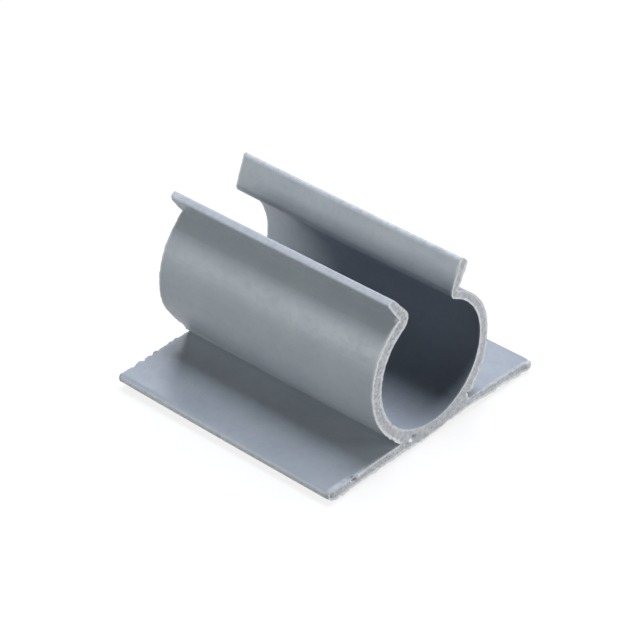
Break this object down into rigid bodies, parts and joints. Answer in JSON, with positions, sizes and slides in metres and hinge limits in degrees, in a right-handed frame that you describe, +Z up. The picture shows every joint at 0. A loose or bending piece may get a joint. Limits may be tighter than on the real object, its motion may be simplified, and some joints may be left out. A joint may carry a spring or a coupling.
{
  "type": "adhesive cable clip",
  "caption": "One-piece extruded plastic cable clip: square base plate with a round spring barrel, open at the top between two flared lips.",
  "frame": {"origin": "middle of the base plate's underside", "axes": "+X across the section, +Y along the barrel, +Z up from the underside towards the lips"},
  "size_m": [0.0254, 0.0254, 0.0158],
  "materials": {
    "grey_plastic": "rigid extruded plastic in bluish mid grey, satin outside, with paler matte sawn ends"
  },
  "bodies": {
    "root": {"clip": "grey_plastic"}
  },
  "joints": []
}
